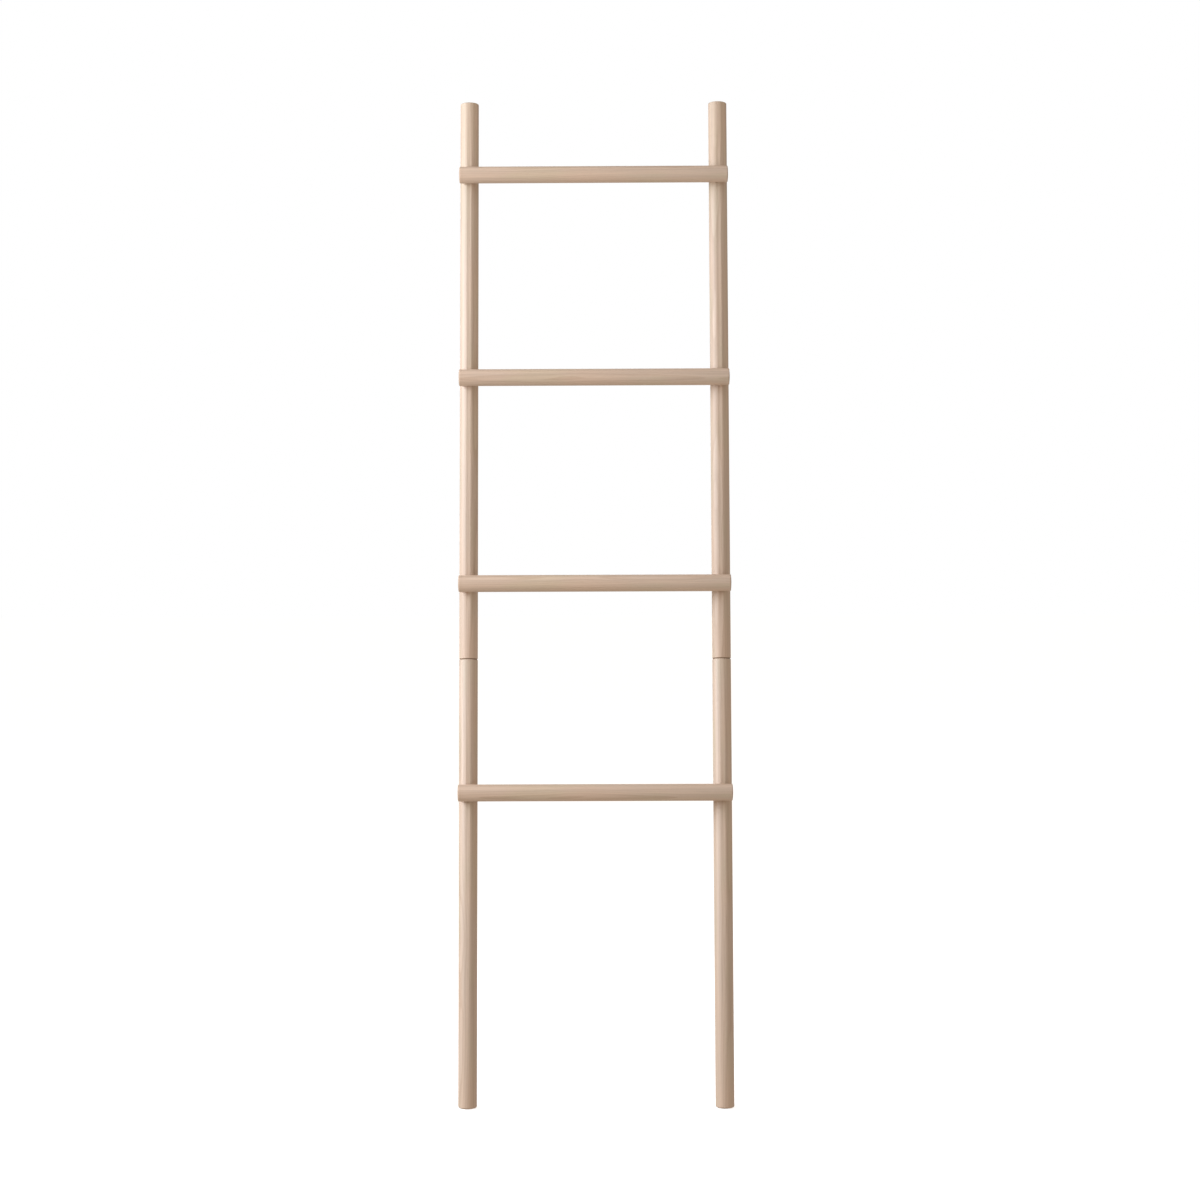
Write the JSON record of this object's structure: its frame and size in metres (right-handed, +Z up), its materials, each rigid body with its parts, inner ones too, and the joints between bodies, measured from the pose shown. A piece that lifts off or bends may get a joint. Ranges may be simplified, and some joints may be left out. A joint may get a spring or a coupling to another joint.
{
  "type": "leaning ladder rack",
  "caption": "Pale wooden ladder rack: round rails with round rungs fixed across their front, which leans on a wall and lifts apart at a seam in the rails.",
  "frame": {"origin": "on the floor, at the centre of the rack's box seen from above, with the rack in its leaning place of use", "axes": "+Z up from the floor, +Y towards the wall, +X to the right of someone facing the wall"},
  "size_m": [0.485, 0.2533, 1.7884],
  "materials": {
    "pale_wood": "soaped matt, long straight grain",
    "bolt_steel": "zinc-plated",
    "insert_brass": "as turned",
    "grey_rubber": "matt"
  },
  "bodies": {
    "lower_section": {"lower_rail_left": "pale_wood", "lower_rail_right": "pale_wood", "splice_dowel_left": "pale_wood", "splice_dowel_right": "pale_wood", "foot_pad_left": "grey_rubber", "foot_pad_right": "grey_rubber", "rung_1": "pale_wood", "bolt_1_left": "bolt_steel", "bolt_1_right": "bolt_steel", "insert_1_left": "insert_brass", "insert_1_right": "insert_brass"},
    "upper_section": {"upper_rail_left": "pale_wood", "upper_rail_right": "pale_wood", "wall_bumper_left": "grey_rubber", "wall_bumper_right": "grey_rubber", "rung_2": "pale_wood", "rung_3": "pale_wood", "rung_4": "pale_wood", "bolt_2_left": "bolt_steel", "bolt_2_right": "bolt_steel", "insert_2_left": "insert_brass", "insert_2_right": "insert_brass", "bolt_3_left": "bolt_steel", "bolt_3_right": "bolt_steel", "insert_3_left": "insert_brass", "insert_3_right": "insert_brass", "bolt_4_left": "bolt_steel", "bolt_4_right": "bolt_steel", "insert_4_left": "insert_brass", "insert_4_right": "insert_brass"}
  },
  "joints": [
    {"name": "section_lift", "type": "slide", "parent": "lower_section", "child": "upper_section", "axis": [0, 0.1219, 0.9925], "range_m": [0, 0.065]}
  ]
}
